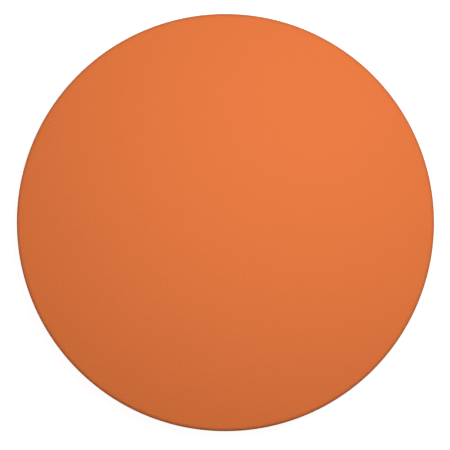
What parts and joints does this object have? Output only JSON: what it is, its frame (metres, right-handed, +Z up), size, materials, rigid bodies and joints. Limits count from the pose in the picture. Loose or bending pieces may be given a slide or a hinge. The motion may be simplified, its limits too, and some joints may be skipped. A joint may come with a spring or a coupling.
{
  "type": "flying disc",
  "caption": "Soft flying disc for throwing and catching: a shallow grained dome with a rounded edge, a foam core, a lined hollow underneath and a bound, sewn lip.",
  "frame": {"origin": "on the ground under the middle of the disc, in the plane of the flat land that the lip stands on", "axes": "+Z up through the top of the dome along the disc's axis; +X to the right and +Y to the top of the picture, which looks straight down"},
  "size_m": [0.25, 0.25, 0.0311],
  "materials": {
    "grained_skin": "matt, fine leather grain",
    "foam": "matt closed-cell foam",
    "lining_knit": "fine knit",
    "tube_rubber": "matt",
    "plug_plastic": "matt",
    "binding_tape": "ribbed woven tape",
    "needle_yarn": "twisted thread",
    "bobbin_yarn": "twisted thread"
  },
  "bodies": {
    "root": {"upper_skin": "grained_skin", "foam_shell": "foam", "lining": "lining_knit", "rim_tube": "tube_rubber", "tube_plug": "plug_plastic", "edge_binding": "binding_tape", "needle_thread": "needle_yarn", "bobbin_thread": "bobbin_yarn"}
  },
  "joints": []
}
